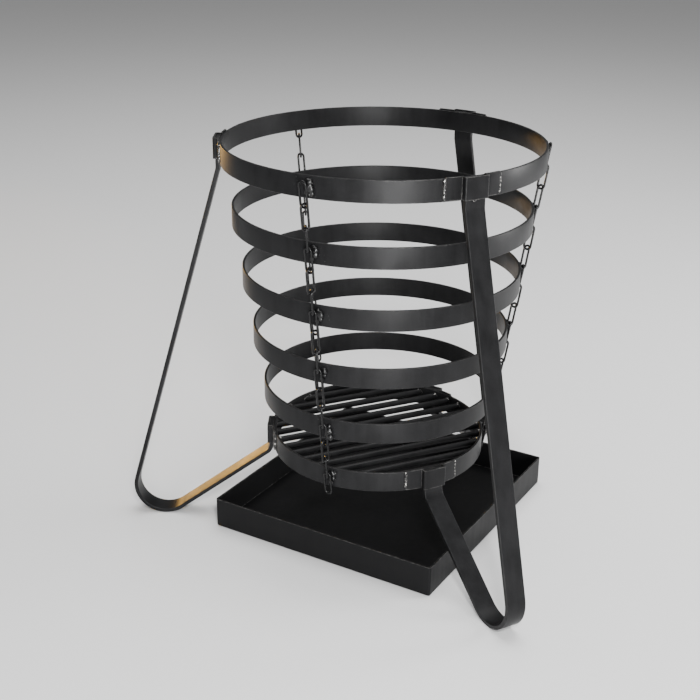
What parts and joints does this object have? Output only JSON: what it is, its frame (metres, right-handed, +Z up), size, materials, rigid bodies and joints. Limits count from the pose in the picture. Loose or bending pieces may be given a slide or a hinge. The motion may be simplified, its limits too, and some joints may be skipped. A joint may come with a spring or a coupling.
{
  "type": "fire pit",
  "caption": "Round open-hoop fire basket hung on chains, with a rod grate, bent flat-bar legs that plug into sockets, and a square ash pan below.",
  "frame": {"origin": "on the basket's axis, at the ground that the legs and the ash pan stand on", "axes": "+Z up along the basket's axis; -X towards the left leg, -Y towards the front"},
  "size_m": [0.5456, 0.5613, 0.5055],
  "materials": {
    "black_steel": "satin heat-resistant paint",
    "chain_steel": "semi-gloss paint",
    "grate_steel": "satin heat-resistant paint",
    "pan_steel": "satin heat-resistant paint"
  },
  "bodies": {
    "legs": {"leg_left": "black_steel", "leg_front": "black_steel", "leg_back": "black_steel"},
    "rim": {"rim_hoop": "black_steel", "rim_socket_left": "black_steel", "rim_socket_front": "black_steel", "rim_socket_back": "black_steel", "rim_welded_links": "chain_steel"},
    "second": {"second_hoop": "black_steel", "second_welded_links": "chain_steel"},
    "third": {"third_hoop": "black_steel", "third_welded_links": "chain_steel"},
    "fourth": {"fourth_hoop": "black_steel", "fourth_welded_links": "chain_steel"},
    "fifth": {"fifth_hoop": "black_steel", "fifth_welded_links": "chain_steel"},
    "base": {"base_hoop": "black_steel", "base_socket_left": "black_steel", "base_socket_front": "black_steel", "base_socket_back": "black_steel", "base_welded_links": "chain_steel", "grate_rods": "grate_steel"},
    "rim_upper_links": {"rim_upper_links": "chain_steel"},
    "rim_lower_links": {"rim_lower_links": "chain_steel"},
    "second_upper_links": {"second_upper_links": "chain_steel"},
    "second_lower_links": {"second_lower_links": "chain_steel"},
    "third_upper_links": {"third_upper_links": "chain_steel"},
    "third_lower_links": {"third_lower_links": "chain_steel"},
    "fourth_upper_links": {"fourth_upper_links": "chain_steel"},
    "fourth_lower_links": {"fourth_lower_links": "chain_steel"},
    "fifth_upper_links": {"fifth_upper_links": "chain_steel"},
    "fifth_lower_links": {"fifth_lower_links": "chain_steel"},
    "ash_pan": {"ash_pan": "pan_steel"}
  },
  "joints": [
    {"name": "basket_lift", "type": "slide", "parent": "legs", "child": "rim", "axis": [0, 0, 1], "range_m": [0, 0.04]},
    {"name": "second_hoop_lift", "type": "slide", "parent": "rim", "child": "second", "axis": [0, 0, 1], "range_m": [0, 0.008]},
    {"name": "third_hoop_lift", "type": "slide", "parent": "second", "child": "third", "axis": [0, 0, 1], "range_m": [0, 0.008]},
    {"name": "fourth_hoop_lift", "type": "slide", "parent": "third", "child": "fourth", "axis": [0, 0, 1], "range_m": [0, 0.008]},
    {"name": "fifth_hoop_lift", "type": "slide", "parent": "fourth", "child": "fifth", "axis": [0, 0, 1], "range_m": [0, 0.008]},
    {"name": "base_hoop_lift", "type": "slide", "parent": "fifth", "child": "base", "axis": [0, 0, 1], "range_m": [0, 0.008]},
    {"name": "rim_upper_links_lift", "type": "slide", "parent": "rim", "child": "rim_upper_links", "axis": [0, 0, 1], "range_m": [0, 0.00287]},
    {"name": "rim_lower_links_lift", "type": "slide", "parent": "rim", "child": "rim_lower_links", "axis": [0, 0, 1], "range_m": [0, 0.00553]},
    {"name": "second_upper_links_lift", "type": "slide", "parent": "second", "child": "second_upper_links", "axis": [0, 0, 1], "range_m": [0, 0.00287]},
    {"name": "second_lower_links_lift", "type": "slide", "parent": "second", "child": "second_lower_links", "axis": [0, 0, 1], "range_m": [0, 0.00553]},
    {"name": "third_upper_links_lift", "type": "slide", "parent": "third", "child": "third_upper_links", "axis": [0, 0, 1], "range_m": [0, 0.00287]},
    {"name": "third_lower_links_lift", "type": "slide", "parent": "third", "child": "third_lower_links", "axis": [0, 0, 1], "range_m": [0, 0.00553]},
    {"name": "fourth_upper_links_lift", "type": "slide", "parent": "fourth", "child": "fourth_upper_links", "axis": [0, 0, 1], "range_m": [0, 0.00287]},
    {"name": "fourth_lower_links_lift", "type": "slide", "parent": "fourth", "child": "fourth_lower_links", "axis": [0, 0, 1], "range_m": [0, 0.00553]},
    {"name": "fifth_upper_links_lift", "type": "slide", "parent": "fifth", "child": "fifth_upper_links", "axis": [0, 0, 1], "range_m": [0, 0.00287]},
    {"name": "fifth_lower_links_lift", "type": "slide", "parent": "fifth", "child": "fifth_lower_links", "axis": [0, 0, 1], "range_m": [0, 0.00553]},
    {"name": "ash_pan_slide", "type": "slide", "parent": "legs", "child": "ash_pan", "axis": [-0.4848, -0.8746, 0], "range_m": [0, 0.45]}
  ],
  "couplings": [
    {"joint": "rim_upper_links_lift", "follows": "second_hoop_lift", "ratio": 0.33333},
    {"joint": "rim_lower_links_lift", "follows": "second_hoop_lift", "ratio": 0.66667},
    {"joint": "second_upper_links_lift", "follows": "third_hoop_lift", "ratio": 0.33333},
    {"joint": "second_lower_links_lift", "follows": "third_hoop_lift", "ratio": 0.66667},
    {"joint": "third_upper_links_lift", "follows": "fourth_hoop_lift", "ratio": 0.33333},
    {"joint": "third_lower_links_lift", "follows": "fourth_hoop_lift", "ratio": 0.66667},
    {"joint": "fourth_upper_links_lift", "follows": "fifth_hoop_lift", "ratio": 0.33333},
    {"joint": "fourth_lower_links_lift", "follows": "fifth_hoop_lift", "ratio": 0.66667},
    {"joint": "fifth_upper_links_lift", "follows": "base_hoop_lift", "ratio": 0.33333},
    {"joint": "fifth_lower_links_lift", "follows": "base_hoop_lift", "ratio": 0.66667}
  ]
}
